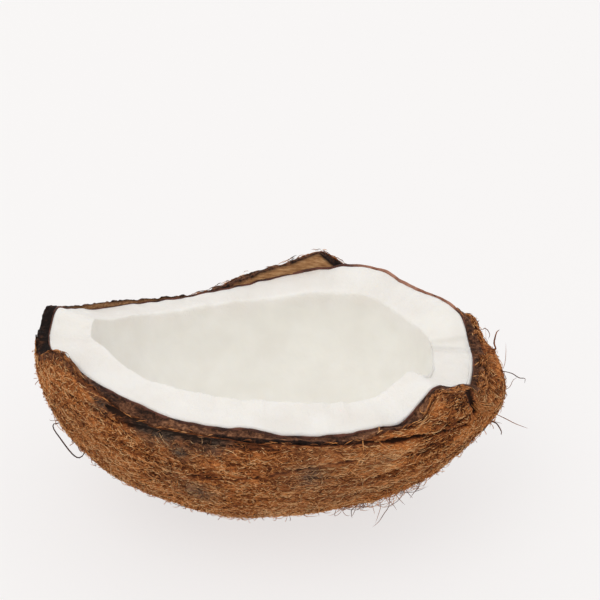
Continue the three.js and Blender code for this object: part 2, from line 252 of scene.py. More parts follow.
class Nodes:
    """Short calls that add nodes to a material or a node group and link them."""

    def __init__(self, tree):
        self.tree = tree

    def add(self, kind, values=None, **settings):
        """A node with its settings, and its inputs set by name or number or linked."""
        node = self.tree.nodes.new(kind)
        for key, value in settings.items():
            setattr(node, key, value)
        for key, value in (values or {}).items():
            if isinstance(value, bpy.types.NodeSocket):
                self.tree.links.new(value, node.inputs[key])
            else:
                node.inputs[key].default_value = value
        return node

    def noise(self, place, scale, detail=3.0, roughness=0.55):
        """Noise from 0 to 1 with that many cells a metre."""
        values = {"Vector": place, "Scale": scale, "Detail": detail, "Roughness": roughness}
        return self.add("ShaderNodeTexNoise", values).outputs["Fac"]

    def ramp(self, value, *stops):
        """A colour ramp, with stops of place and linear colour."""
        node = self.add("ShaderNodeValToRGB", {"Fac": value})
        while len(node.color_ramp.elements) < len(stops):
            node.color_ramp.elements.new(0.5)
        for element, (place, colour) in zip(node.color_ramp.elements, stops):
            element.position = place
            element.color = (*colour, 1)
        return node.outputs["Color"]

    def sway(self, noise, amount):
        """Noise, stretched to run from minus to plus that amount and held between them."""
        values = {"Value": noise, "From Min": 0.3, "From Max": 0.7}
        values |= {"To Min": -amount, "To Max": amount}
        return self.add("ShaderNodeMapRange", values).outputs["Result"]

    def mix(self, share, first, second):
        """Two colours mixed."""
        values = {0: share, 6: first, 7: second}
        return self.add("ShaderNodeMix", values, data_type="RGBA").outputs[2]

    def math(self, operation, *terms):
        """Arithmetic on numbers or sockets."""
        values = dict(enumerate(terms))
        return self.add("ShaderNodeMath", values, operation=operation).outputs[0]

    def mask(self, name):
        """A mask that is stored in the mesh."""
        return self.add("ShaderNodeAttribute", attribute_name=name).outputs["Fac"]

    def finish(self, shader, colour, height, distance):
        """Gives the shader its colour, and bends its normal by a height, with the distance in
        metres that a height of 1 stands for."""
        bump = self.add("ShaderNodeBump", {"Height": height, "Distance": distance, "Strength": 1.0})
        self.tree.links.new(colour, shader["Base Color"])
        self.tree.links.new(bump.outputs["Normal"], shader["Normal"])


def new_material(name, roughness, specular):
    """A material with its Principled shader's inputs, its nodes and the place on the object."""
    material = bpy.data.materials.new(name)
    material.use_nodes = True
    shader = material.node_tree.nodes["Principled BSDF"]
    shader.inputs["Roughness"].default_value = roughness
    shader.inputs["Specular IOR Level"].default_value = specular
    nodes = Nodes(material.node_tree)
    place = nodes.add("ShaderNodeTexCoord").outputs["Object"]
    return material, shader.inputs, nodes, place


def flesh_material():
    """White, moist and slightly see-through; whiter on the broken face than in the hollow, and half
    white in the hollow towards the point, which is painted light.
    """
    material, shader, nodes, place = new_material("coconut_flesh", 0.42, 0.35)
    # The broken mask also holds painted light: the hollow stays half white towards the point.
    broken = nodes.mask("broken")
    drift = nodes.noise(place, 90, 2)
    white = nodes.ramp(drift, (0.3, (0.83, 0.80, 0.755)), (0.7, (0.88, 0.86, 0.825)))
    grey = nodes.ramp(drift, (0.3, (0.82, 0.80, 0.745)), (0.7, (0.87, 0.855, 0.805)))
    grain = nodes.noise(place, 1500, 4)
    veins = nodes.noise(place, 160, 3)
    height = nodes.math("ADD", nodes.math("MULTIPLY", grain, broken), veins)
    nodes.finish(shader, nodes.mix(broken, grey, white), height, 0.00025)
    shader["Subsurface Weight"].default_value = 0.3
    shader["Subsurface Radius"].default_value = (1.0, 0.9, 0.75)
    shader["Subsurface Scale"].default_value = 0.003
    return material


FLESH_ROWS = 300
FLESH_SOFTNESS = 0.9  # of the lines' corners, in degrees
HOLLOW_SOFTNESS = 1.2
rows_along = np.linspace(0, 180, FLESH_ROWS)
flesh_near = break_line(FLESH_NEAR, FLESH_SOFTNESS)
flesh_far = break_line(FLESH_FAR, FLESH_SOFTNESS)
hollow_near = break_line(HOLLOW_NEAR, HOLLOW_SOFTNESS)
hollow_far = break_line(HOLLOW_FAR, HOLLOW_SOFTNESS)


def around_at(side, height):
    """Degrees around of a height in degrees above the axis, on the near or the far side. They run
    from 0 at the axis' height on the far side to -180 on the near side."""
    return -180 - height if side == "near" else height


def rim_around(side, height, along, roughness, seed):
    """Degrees around of a rim: its height in degrees, with ragged waves of up to about that many
    degrees of roughness."""
    waves = ragged(along, 3, seed) + 0.5 * ragged(along, 1.2, seed + 1)
    return around_at(side, height + roughness * waves * np.sin(np.radians(along)))


RIM_RAGGEDNESS = 0.35
HOLLOW_RAGGEDNESS = 0.7
outer_near = rim_around("near", flesh_near(rows_along), rows_along, RIM_RAGGEDNESS, 1)
outer_far = rim_around("far", flesh_far(rows_along), rows_along, RIM_RAGGEDNESS, 3)
inner_near = rim_around("near", hollow_near(rows_along), rows_along, HOLLOW_RAGGEDNESS, 5)
inner_far = rim_around("far", hollow_far(rows_along), rows_along, HOLLOW_RAGGEDNESS, 7)

OUTER_COLUMNS = 16
HOLLOW_COLUMNS = 96
BREAK_STEPS = 24
FAR_BREAK = slice(OUTER_COLUMNS, OUTER_COLUMNS + BREAK_STEPS)
HOLLOW = slice(OUTER_COLUMNS + BREAK_STEPS, OUTER_COLUMNS + BREAK_STEPS + HOLLOW_COLUMNS)
NEAR_BREAK = slice(HOLLOW.stop - 1, None)

HOLLOW_EDGE = {"near": 1.3, "far": 4.0}  # mm over which the break's white fades
# Degrees along the nut over which the hollow turns from white to grey, at first wholly and then
# from half white, which is painted light on the hollow's shaded end by the point, and over which
# the far break turns duller, by that share.
WHITE_POINT = (16, 27)
HOLLOW_PAINTED_LIGHT = (30, 75)
DULL_BREAK = (148, 162)
DULLNESS = 0.4

# The break stands this much higher at the eye end, from these degrees along on its two sides.
CHUNK_HEIGHT = 1.0
NEAR_CHUNK = (136, 140)
FAR_CHUNK = (175.4, 176.8)

BREAK_RELIEF = ((0.25, 7, 11), (0.1, 2.2, 12))
HOLLOW_RELIEF = ((0.22, 11, 13), (0.05, 3.5, 14))
WRINKLES = (0.35, 4, 16)
WRINKLES_GROW = (15, 40)  # between these places along X, in mm


def whiteness(loops):
    """From 0 in the hollow to 1 on the break. It falls off into the hollow as a bell curve of the
    distance from the break's edge, and less towards the point, where the hollow is kept half white
    as painted light."""
    white = np.ones(loops.shape[:2])
    white[:, 1 : OUTER_COLUMNS - 1] = 0
    hollow = loops[:, HOLLOW]
    from_far = np.linalg.norm(hollow - hollow[:, :1], axis=-1) / HOLLOW_EDGE["far"]
    from_near = np.linalg.norm(hollow - hollow[:, -1:], axis=-1) / HOLLOW_EDGE["near"]
    uneven = 1 + 0.5 * cloud(hollow, 4, 15)
    white[:, HOLLOW] = np.exp(-((np.minimum(from_far, from_near) * uneven) ** 2))
    # Painted light: the hollow stays half white towards the point, where it lies in shade.
    half = 0.5 - 0.5 * ease(rows_along, *HOLLOW_PAINTED_LIGHT)
    white[:, HOLLOW.start :] = np.maximum(white[:, HOLLOW.start :], half[:, None])
    white = np.maximum(white, 1 - ease(rows_along, *WHITE_POINT)[:, None])
    white[:, FAR_BREAK] -= DULLNESS * ease(rows_along, *DULL_BREAK)[:, None]
    return white


def make_flesh():
    """The flesh: smooth outside, with a broad wavy break and a smooth hollow that has a few soft
    dents and, towards the eye end, wrinkles."""
    outside = skin(rows_along, outer_near, outer_far, OUTER_COLUMNS)
    inside = skin(rows_along, inner_near, inner_far, HOLLOW_COLUMNS)
    outside, _ = nut_surface(*outside, FLESH_OUTSIDE)
    inside, _ = nut_surface(*inside, FLESH_INSIDE)
    loops = bowl_loops(outside, inside, BREAK_STEPS, 2)
    # The white of the break, with painted light on the hollow's end by the point.
    broken = whiteness(loops)
    wrinkles = ease(loops[..., 0], *WRINKLES_GROW) * relief(loops * (1, 1, 0.6), WRINKLES)
    smooth = relief(loops, *HOLLOW_RELIEF) + wrinkles
    height = broken * relief(loops, *BREAK_RELIEF) + (1 - broken) * smooth
    height[:, NEAR_BREAK] += CHUNK_HEIGHT * ease(rows_along, *NEAR_CHUNK)[:, None]
    height[:, FAR_BREAK] += CHUNK_HEIGHT * ease(rows_along, *FAR_CHUNK)[:, None]
    return loop_mesh("flesh_bowl", roughen(loops, height), {"broken": broken})


hand_over(make_flesh(), flesh_material(), "flesh")


# ---- Seed coat ----
# A thin red-brown skin clings to the outside of the flesh. It shows only where it broke, as a fine
# line between the white flesh and the dark shell.

SEED_COAT_OUTSIDE = -3.3
SEED_COAT_INSIDE = -3.55
SEED_COAT_COLUMNS = 16
SEED_COAT_PROUD = 0.1  # its edge stands this many degrees past the flesh


def seed_coat_material():
    """Dull dark red-brown, paler and pinker where it is scraped."""
    material, shader, nodes, place = new_material("coconut_seed_coat", 0.6, 0.3)
    drift = nodes.noise(place, 220, 3)
    whole = nodes.ramp(drift, (0.35, (0.04, 0.015, 0.010)), (0.65, (0.17, 0.06, 0.038)))
    scraped = nodes.ramp(drift, (0.35, (0.24, 0.09, 0.05)), (0.65, (0.5, 0.25, 0.17)))
    colour = nodes.mix(nodes.mask("scraped"), whole, scraped)
    nodes.finish(shader, colour, nodes.noise(place, 2500, 3), 0.0002)
    return material


def on_the_eye_end(along):
    """From 0 to 1: whether a place is on the eye end's far side, past the piece of shell that
    stands up, where the shell ends lower than the flesh."""
    return comes_and_goes(along, 113, 119, 160, 166)


def make_seed_coat():
    """Two close skins that end at the flesh's break, with their edge standing a hair proud. The
    far edge is scraped at the eye end."""
    proud = SEED_COAT_PROUD * np.sin(np.radians(rows_along))
    grid = skin(rows_along, outer_near - proud, outer_far + proud, SEED_COAT_COLUMNS)
    outside, _ = nut_surface(*grid, SEED_COAT_OUTSIDE)
    inside, _ = nut_surface(*grid, SEED_COAT_INSIDE)
    loops = bowl_loops(outside, inside, 3, 0)
    scraped = np.zeros(loops.shape[:2])
    far_edge = slice(SEED_COAT_COLUMNS - 2, SEED_COAT_COLUMNS + 5)
    scraped[:, far_edge] = on_the_eye_end(rows_along)[:, None]
    loops = roughen(loops, relief(loops, (0.08, 1.5, 21)))
    return loop_mesh("seed_coat_skin", loops, {"scraped": scraped})


hand_over(make_seed_coat(), seed_coat_material(), "seed_coat")


# ---- Shell ----
# The hard shell is woody, some three millimetres thick and dark. Its break is black and rough.
# On the far side a piece of it still stands above the flesh and shows its tan, streaky inside.

SHELL_INSIDE = -3.35
SHELL_EDGE_SLOPE = 0.6  # the inside of the shell ends this many degrees below the flesh
EYE_END_SLOPE = 1.2  # and this many more on the eye end's far side
SHELL_RAGGEDNESS = 0.55

# The break at the outside of the shell, and the edge of its inside where that stands above the
# flesh, as (degrees along the nut, degrees above its long axis).
SHELL_NEAR = [
    (0, 0), (3, -14), (5, -26), (10, -12), (16, 8), (19.5, 13.5), (23.5, 19), (28, 20.5), (30, 19),
    (32, 16), (34, 13.8), (36, 10.8), (38, 7.5), (41, 5.8), (47, 2.2), (51, -0.5), (58, -2),
    (76, -1.8), (81, -2.2), (91, -2.2), (99, -3), (104, -3), (107.5, -2.2), (111.5, 0),
    (114, 0.6), (120, 0), (123.5, 1), (126, 3.4), (127.5, 9.5), (130.5, 12.2), (135, 10.8),
    (144, 10.2), (149, 4), (156, -6), (166, -8), (180, 0),
]
SHELL_FAR = [
    (0, 0), (3, -18), (5, -10), (7, -2), (10.8, 16), (12.8, 23), (16, 9), (19, 1), (22.5, -4),
    (27, -10), (32, -13.5), (38, -15.5), (60, -16), (70, -14), (76, -11.2), (78, -10.2),
    (84, -5.8), (89, -3), (95, 0.2), (97, 2.2), (103, 6.8), (105, 7.8), (109, 5), (112, 3),
    (114, 1), (121, 1.5), (126, 2), (131, -0.5), (138, -1.5), (145, -1), (150, 0.5), (157, 1),
    (161, 2), (163, 7), (169, 15), (175, 14), (180, 0),
]
SHELL_LIP = [
    (0, -30), (17, 4), (20, 2.2), (25, -2.8), (31, -7), (35, -8), (43.5, -9.8), (54, -11.2),
    (64, -11.5), (70, -11), (75.5, -10.3), (80.5, -8.5), (85, -5.5), (89, -3), (91, -0.8),
    (94, 1.5), (97, 3.5), (100.5, 6.2), (103, 8.8), (104.5, 9.5), (105.5, 8), (109.5, 4),
    (112, 2), (116, -10), (180, -10),
]

SHELL_ROWS = 340
SHELL_SOFTNESS = 0.5
shell_rows = np.linspace(0, 180, SHELL_ROWS)
shell_near = break_line(SHELL_NEAR, SHELL_SOFTNESS)
shell_far = break_line(SHELL_FAR, SHELL_SOFTNESS)
shell_lip = break_line(SHELL_LIP, SHELL_SOFTNESS)


def shell_material():
    """Near-black at the break, with brown flecks; tan and streaked on the inside."""
    material, shader, nodes, place = new_material("coconut_shell", 0.8, 0.12)
    speckle = nodes.noise(place, 700, 5, 0.75)
    flecks = nodes.math("ADD", speckle, nodes.sway(nodes.noise(place, 130, 2), 0.08))
    flecks = nodes.math("ADD", flecks, nodes.mask("brown"))
    broken = nodes.ramp(
        flecks,
        (0.36, (0.012, 0.007, 0.006)),
        (0.48, (0.055, 0.023, 0.013)),
        (0.60, (0.15, 0.062, 0.032)),
        (0.75, (0.38, 0.18, 0.09)),
    )
    streaks = nodes.add("ShaderNodeMapping", {"Vector": place, "Scale": (1.0, 6.0, 6.0)})
    grain = nodes.noise(streaks.outputs["Vector"], 260, 5, 0.65)
    brown = nodes.ramp(grain, (0.35, (0.075, 0.032, 0.016)), (0.65, (0.27, 0.12, 0.055)))
    tan = nodes.ramp(
        grain, (0.3, (0.24, 0.105, 0.042)), (0.5, (0.46, 0.24, 0.105)), (0.7, (0.66, 0.40, 0.20))
    )
    inner = nodes.mix(nodes.mask("pale"), brown, tan)
    colour = nodes.mix(nodes.mask("inside"), broken, inner)
    nodes.finish(shader, colour, nodes.math("ADD", speckle, grain), 0.0006)
    return material


SHELL_OUTER_COLUMNS = 26
SHELL_INNER_COLUMNS = 60
SHELL_BREAK_STEPS = 9
SHELL_FAR_BREAK = slice(SHELL_OUTER_COLUMNS - 1, SHELL_OUTER_COLUMNS + SHELL_BREAK_STEPS + 1)
SHELL_NEAR_BREAK = slice(-SHELL_BREAK_STEPS - 1, None)
SHELL_INNER = slice(SHELL_FAR_BREAK.stop, SHELL_NEAR_BREAK.start)
SHELL_BREAK_RELIEF = ((0.4, 1.8, 35), (0.3, 0.8, 36))
SHELL_STREAKS = (0.25, 1.3, 37)

# Degrees along the nut over which the shell's colours come and go, and by how much they change.
# Painted shadow: over the next span the break's outer edge is black, for the shaded gap between
# shell and coat.
NEAR_GAP_SHADOW = (70, 78, 103, 108)
STANDING_PIECE = (103, 105, 113, 116)
BLACK_POINT = {"outside": (7, 12), "break": (10, 20)}
PALENESS = ((14, 26, 76, 84), (0, 0.55, 0.55, 1))
BROWNER = {"outward": 0.09, "gap_shadow": -0.25, "point": -0.2, "standing piece": -0.14, "eye end": 0.12}


def shell_loops(along):
    """The shell's two skins, closed along its break."""
    near = rim_around("near", shell_near(along), along, SHELL_RAGGEDNESS, 31)
    far = rim_around("far", shell_far(along), along, SHELL_RAGGEDNESS, 33)
    outside, _ = nut_surface(*skin(along, near, far, SHELL_OUTER_COLUMNS), 0.0)
    slope = SHELL_EDGE_SLOPE * np.sin(np.radians(along))
    far_slope = slope + EYE_END_SLOPE * on_the_eye_end(along)
    lip = np.maximum(flesh_far(along) - far_slope, shell_lip(along))
    near = rim_around("near", flesh_near(along), along, RIM_RAGGEDNESS, 1) + slope
    far = rim_around("far", lip, along, RIM_RAGGEDNESS, 3)
    inside, _ = nut_surface(*skin(along, near, far, SHELL_INNER_COLUMNS), SHELL_INSIDE)
    return bowl_loops(outside, inside, SHELL_BREAK_STEPS, 1)


def shell_brownness(along, columns):
    """How brown the shell is where it isn't the inside: darkest on the point and on the piece
    that stands up, brownest towards the coat and on the far side of the eye end, with a black
    line of painted shadow along the near edge, for the shaded gap between shell and coat."""
    outward = np.zeros((len(along), columns))
    outward[:, SHELL_FAR_BREAK] = np.linspace(1, 0, SHELL_BREAK_STEPS + 2)
    outward[:, SHELL_NEAR_BREAK] = np.linspace(0, 1, SHELL_BREAK_STEPS + 1)
    outward[:, 0] = 1
    brown = 0.03 + BROWNER["outward"] * (outward - 0.35)
    # Painted shadow of the gap between shell and coat, as a black line on the break's outer edge.
    gap_shadow = comes_and_goes(along, *NEAR_GAP_SHADOW)
    brown += BROWNER["gap_shadow"] * ease(outward, 0.84, 0.94) * gap_shadow[:, None]
    first = SHELL_FAR_BREAK.start
    brown[:, :first] += BROWNER["point"] * (1 - ease(along, *BLACK_POINT["outside"]))[:, None]
    brown[:, first:] += BROWNER["point"] * (1 - ease(along, *BLACK_POINT["break"]))[:, None]
    standing = BROWNER["standing piece"] * comes_and_goes(along, *STANDING_PIECE)
    eye_end = BROWNER["eye end"] * on_the_eye_end(along)
    brown[:, SHELL_FAR_BREAK] += (eye_end + standing)[:, None]
    return brown


def make_shell():
    """The shell, with a rough break and a streaky inside. Its masks are the inside, the inside's
    paleness along the nut, and how brown the rest is."""
    loops = shell_loops(shell_rows)
    columns = loops.shape[1]
    broken = np.zeros(columns)
    broken[SHELL_FAR_BREAK] = broken[SHELL_NEAR_BREAK] = broken[0] = 1
    inner = np.zeros(columns)
    inner[SHELL_INNER] = 1
    height = broken * relief(loops, *SHELL_BREAK_RELIEF)
    height = height + inner * relief(loops * (0.25, 1, 1), SHELL_STREAKS)
    masks = {
        "inside": inner,
        "pale": np.interp(shell_rows, *PALENESS)[:, None],
        "brown": shell_brownness(shell_rows, columns),
    }
    return loop_mesh("shell_wall", roughen(loops, height), masks)


hand_over(make_shell(), shell_material(), "shell")


# ---- Fibre coat ----
# What is left of the husk: a mat of coir glued to the shell, thin at the break and on the point,
# split in places along the nut, and thick over the eyes. Its fibres run mostly lengthwise.

COAT_INSIDE = 0.1  # mm off the shell, like all the coat's heights
COAT_OUTSIDE = 1.95
COAT_LEAST = 0.25
# How many degrees below the shell's outside the coat ends, by degrees along the nut.
COAT_DROP = ((0, 48, 50, 64, 67, 80, 84, 103, 106), (0.4, 0.4, 1, 1, 0.4, 0.4, 0.7, 0.6, 0.3))
# How many degrees lower still it ends on the point, on its far and near side.
FAR_POINT_DROP = ((4, 7, 11, 14, 18, 26, 36), (80, 50, 38, 34, 16, 5, 0))
NEAR_POINT_DROP = ((1, 3, 6, 10), (9, 11, 10, 0))
COAT_RAGGEDNESS = 0.6
RIBS = 64  # half waves from rim to rim
RIB_HEIGHT = 0.3
COAT_LUMPS = (0.25, 9, 47)
ROPE_HEIGHT = ((0, 95, 120, 160, 172), (0.25, 0.34, 0.95, 0.7, 0.3))  # degrees along, mm
EDGE_THINNING = ((0, 2.4, 4.8, 7.2), (0.45, 0.75, 0.95, 1.0))  # mm from the rim, share left
TIP_THINNING = (0.3, 50)  # share left on the point, degrees along where it is whole again
PAD_CENTRE = (57.5, -8, 38)  # over the eyes, as X, Y and Z
PAD_HEIGHT = 6.5
PAD_REACH = 12.5
PAD_SLOPE = 0.09  # share of the way round over which the pad falls to the rims
SEAT_PRESS = 1.4  # what is lower than this is pressed flat, to the seat's height
SEAT_HEIGHT = 0.12

# Splits in the coat, each with its width and depth in mm and its route in degrees along and around.
SPLITS = [
    (0.55, 2.2, [(104, -177.2), (110, -176.6), (118.5, -175.9), (123.5, -175.5), (129, -174.7),
                 (135.5, -172.4), (142, -168.6), (145, -166)]),
    (0.5, 1.1, [(47, -179.5), (53, -178.7), (58, -177.2)]),
    (0.4, 0.9, [(34, -175.5), (42, -176.6), (49.5, -174.3), (56, -175.3), (63, -176.6),
                (75, -177), (84, -178)]),
    (0.45, 0.9, [(22, -170.5), (30, -175)]),
    (1.1, 2.6, [(142.5, -193), (145, -183), (149, -170)]),
    (0.6, 0.7, [(70, -160), (82, -162.5), (95, -168), (104, -170)]),
    (0.6, 1.0, [(60, -60), (95, -54), (120, -58)]),
    (0.6, 1.0, [(35, -20), (60, -24), (80, -21)]),
    (0.7, 1.1, [(110, -18), (130, -25), (150, -30)]),
    (0.6, 0.9, [(40, -130), (60, -122), (75, -124)]),
]


def coat_rims(along):
    """Degrees around of the coat's near and far edge."""
    fall = np.sin(np.radians(along))
    drop = np.interp(along, *COAT_DROP)
    near_drop = (drop + COAT_RAGGEDNESS * np.abs(ragged(along, 4, 41))) * fall
    far_drop = (drop + COAT_RAGGEDNESS * np.abs(ragged(along, 4, 42))) * fall
    near = around_at("near", shell_near(along)) + near_drop + np.interp(along, *NEAR_POINT_DROP)
    far = around_at("far", shell_far(along)) - far_drop - np.interp(along, *FAR_POINT_DROP)
    return near, far


def on_the_nut(along, around):
    """Place on the coat in mm: how far along, and how far around on a nut of even girth."""
    return np.stack([along * 1.08, around * 0.87, 0 * along], axis=-1)


def split_depth(along, around):
    """How deep the coat is split at a place, in mm: for each split a bell curve of the distance
    from the nearest point of its route, which noise makes wander."""
    place = on_the_nut(along, around)
    point = place[..., None, :2]
    wander = 0.3 * cloud(place, 5, 43)
    total = 0.0
    for width, depth, route in SPLITS:
        route = on_the_nut(*np.transpose(route).astype(float))[:, :2]
        start, step = route[:-1], np.diff(route, axis=0)
        share = ((point - start) * step).sum(-1) / (step**2).sum(-1)
        nearest = start + np.clip(share, 0, 1)[..., None] * step
        distance = np.linalg.norm(point - nearest, axis=-1).min(-1) + wander
        total = total + depth * np.exp(-((distance / width) ** 2))
    return total


def ropes(along, around):
    """From about -1 to 1: ropes of fibre that run along the nut, as noise drawn out along it, in
    two sizes. They are weaker beside the near edge."""
    place = on_the_nut(along, around)
    bend = 2.2 * cloud(place, 16, 44)[..., None] * (0, 1, 0)
    rope = cloud((place + bend) * (0.12, 1, 1), 1.35, 45)
    rope = rope + 0.5 * cloud(place * (0.3, 1, 1), 0.9, 46)
    return rope * (0.4 + 0.6 * ease(around - coat_rims(along)[0], 5, 13))


def ribs(along, share):
    """Long ribs, as cosine waves from rim to rim whose height swells and ebbs along the nut."""
    swell = 0.65 + 0.35 * np.sin(3 * np.radians(along) + 1.9 * share * RIBS)
    return RIB_HEIGHT * swell * np.cos(np.pi * share * RIBS) * np.sin(np.radians(along))


def coat_height(along, around):
    """How far the coat stands off the shell, in mm.

    Its thickness with ribs and ropes of fibre, thinned towards both edges and on the point, plus
    the pad over the eyes, less the splits.
    """
    near, far = coat_rims(along)
    share = (around - near) / (far - near)
    girth = np.maximum(np.sin(np.radians(along)), 0.05) * HALF_WIDTH
    from_rim = np.minimum(share, 1 - share) * np.radians(far - near) * girth
    on_the_point, whole_again = TIP_THINNING
    left = on_the_point + (1 - on_the_point) * ease(along, 0, whole_again)
    left = left * np.interp(from_rim, *EDGE_THINNING)
    rope = np.interp(along, *ROPE_HEIGHT) * ropes(along, around)
    lumps = relief(on_the_nut(along, around), COAT_LUMPS)
    middle, _ = nut_surface(along, around, 0)
    pad = PAD_HEIGHT * np.exp(-((np.linalg.norm(middle - PAD_CENTRE, axis=-1) / PAD_REACH) ** 2))
    pad = pad * ease(np.minimum(share, 1 - share), 0, PAD_SLOPE)
    height = (COAT_OUTSIDE + ribs(along, share) + rope + lumps) * left + pad
    return np.maximum(height - split_depth(along, around), COAT_LEAST)


def pressed(points):
    """Points near the surface that the half lies on, pressed flat onto it."""
    points = points.copy()
    points[..., 2] = np.where(points[..., 2] < SEAT_PRESS, SEAT_HEIGHT, points[..., 2])
    return points


def coir_colour_group():
    """The colours of coir: a tone from 0, dark red-brown, over orange-brown to 1, pale tan, with
    grey weathering on top."""
    group = bpy.data.node_groups.new("coir_colour", "ShaderNodeTree")
    for name in ("Tone", "Weathering"):
        group.interface.new_socket(name, in_out="INPUT", socket_type="NodeSocketFloat")
    group.interface.new_socket("Colour", in_out="OUTPUT", socket_type="NodeSocketColor")
    nodes = Nodes(group)
    given = nodes.add("NodeGroupInput").outputs
    colour = nodes.ramp(
        given["Tone"],
        (0.0, (0.026, 0.009, 0.004)),
        (0.25, (0.16, 0.046, 0.015)),
        (0.5, (0.47, 0.158, 0.044)),
        (0.75, (0.78, 0.32, 0.10)),
        (1.0, (0.97, 0.60, 0.29)),
    )
    grey = nodes.ramp(given["Tone"], (0.0, (0.02, 0.013, 0.010)), (1.0, (0.27, 0.175, 0.12)))
    mixed = nodes.mix(given["Weathering"], colour, grey)
    nodes.add("NodeGroupOutput", {"Colour": mixed})
    return group


coir_colours = coir_colour_group()


def coir_material(name, grain_size, contrast):
    """Dull coir, coloured by the mesh's masks of tone and weathering, with fine grain that runs
    mostly along the nut."""
    material, shader, nodes, place = new_material(name, 0.85, 0.08)
    lengthwise = nodes.add("ShaderNodeMapping", {"Vector": place, "Scale": (0.35, 1.0, 1.0)})
    grain = nodes.noise(lengthwise.outputs["Vector"], grain_size, 4, 0.7)
    tone = nodes.math("ADD", nodes.mask("tone"), nodes.sway(grain, contrast))
    values = {"Tone": tone, "Weathering": nodes.mask("weathering")}
    colour = nodes.add("ShaderNodeGroup", values, node_tree=coir_colours).outputs["Colour"]
    nodes.finish(shader, colour, grain, 0.0005)
    return material


# Grey, weathered patches of the coat, as (degrees along, degrees around, reach in mm, strength).
WEATHERED = [
    (60, -177, 6, 0.8), (68, -171, 5, 0.8), (75, -174, 4, 0.7), (65, -159, 4.5, 0.6),
    (72, -151, 5, 0.7), (95, -165, 4, 0.6), (113, -167, 3.5, 0.7), (45, -180, 5, 0.6),
    (85, -60, 8, 0.7), (50, -40, 7, 0.6), (120, -80, 7, 0.5), (140, -40, 6, 0.6),
]
# Places where the coat is darker or brighter than the rest, in the same way.
TONED = [
    (136, -183, 7, -0.27), (152, -170, 4, 0.06), (163, -130, 12, -0.06), (168, -168, 8, -0.12),
    (59, -166, 3, -0.13), (66, -163, 3.5, -0.13), (76, -160, 4, -0.12), (88, -168, 3, -0.1),
    (99, -171, 3, 0.12), (112, -173, 3, 0.14), (119, -172.5, 3, 0.16), (92, -132, 12, 0.06),
    (70, -90, 9, -0.1), (120, -50, 9, -0.12), (40, -70, 8, -0.1),
]
COAT_TONE = 0.67
TONE_PATCHES = ((0.1, 11, 50), (0.1, 3, 51))  # the second drawn out along the nut
GREY_PATCHES = (0.3, 13, 49)
# Painted light on the ropes of fibre and painted shade between them, by degrees along.
ROPE_LIGHT_AND_SHADE = ((0, 95, 120, 160, 172), (0.09, 0.1, 0.26, 0.2, 0.08))  # by degrees along
# The smooth, dark strip of husk along the near edge towards the point.
HUSK_STRIP = ((12, 40, 90), (9, 3.4, 2.2))  # degrees along, degrees wide
STRIP_ENDS = (84, 96)  # degrees along over which it fades
STRIP_TONE = -0.2
STRIP_GREY = 0.25


def patches(place, table):
    """The sum of bell curves of the distance from each place in a table, broken up by noise."""
    noise = cloud(place, 4, 48)
    total = np.zeros(place.shape[:-1])
    for at_along, at_around, reach, strength in table:
        centre = on_the_nut(np.array(float(at_along)), np.array(float(at_around)))
        distance = np.linalg.norm(place - centre, axis=-1) / reach
        total += strength * np.exp(-(distance**2)) * (1 + 0.8 * noise)
    return total


def husk_strip(along, around):
    """From 0 to 1: whether a place is on the dark strip along the near edge."""
    share = (around - coat_rims(along)[0]) / np.interp(along, *HUSK_STRIP)
    return (1 - ease(share, 0.8, 1.15)) * (1 - ease(along, *STRIP_ENDS))


def weathering(along, around):
    """From 0 to 1: how grey the coat is, in patches and on the strip along the near edge."""
    place = on_the_nut(along, around)
    total = 0.03 + relief(place, GREY_PATCHES) + patches(place, WEATHERED)
    return np.clip(total + STRIP_GREY * husk_strip(along, around), 0, 1)


def coat_tone(along, around):
    """From 0 to 1: how pale the coat's fibres are on average, in soft patches, and paler on the
    ropes of fibre than between them: painted light on the ropes and painted shade between them."""
    place = on_the_nut(along, around)
    round_ones, long_ones = TONE_PATCHES
    broad = relief(place, round_ones) + relief(place * (0.5, 1, 1), long_ones)
    broad = broad + patches(place, TONED) + STRIP_TONE * husk_strip(along, around)
    return COAT_TONE + broad + np.interp(along, *ROPE_LIGHT_AND_SHADE) * ropes(along, around)


COAT_ROWS = 240
COAT_OUTER_COLUMNS = 330
COAT_INNER_COLUMNS = 24
# Tones of the mat where it is hidden, under the strands, in its splits and on the point; under the
# strands and in the splits it is painted shade.
MAT_TONE = {"hidden": 0.2, "painted shade below the strands": -0.3, "painted shade per mm of split": -0.4, "point": -0.5}
DARK_POINT = (3, 7)  # degrees along


def make_coat():
    """The mat itself, with painted shade between the fibres that lie on it and in its splits."""
    along = np.linspace(0, 180, COAT_ROWS)
    near, far = coat_rims(along)
    outer = skin(along, near, far, COAT_OUTER_COLUMNS)
    inner = skin(along, near, far, COAT_INNER_COLUMNS)
    outside, _ = nut_surface(*outer, coat_height(*outer))
    inside, _ = nut_surface(*inner, COAT_INSIDE)
    loops = bowl_loops(pressed(outside), inside, 3, 1)
    tone = np.full(loops.shape[:2], MAT_TONE["hidden"])
    # Painted shade: the mat is dimmed under the strands, and more in its splits.
    painted_shade = MAT_TONE["painted shade below the strands"] + MAT_TONE["painted shade per mm of split"] * split_depth(*outer)
    tone[:, :COAT_OUTER_COLUMNS] = coat_tone(*outer) + painted_shade
    tone += MAT_TONE["point"] * (1 - ease(along, *DARK_POINT))[:, None]
    grey = np.zeros(loops.shape[:2])
    grey[:, :COAT_OUTER_COLUMNS] = weathering(*outer)
    return loop_mesh("coir_mat", loops, {"tone": tone, "weathering": grey})


mat_material = coir_material("coconut_coir_mat", grain_size=1500, contrast=0.3)
hand_over(make_coat(), mat_material, "fibre_coat")


# ---- Coir strands ----
# Single fibres of coir, up to three tenths of a millimetre thick, lie tangled on the mat, over and
# under each other. Each is a thin closed spindle that tapers to both ends.


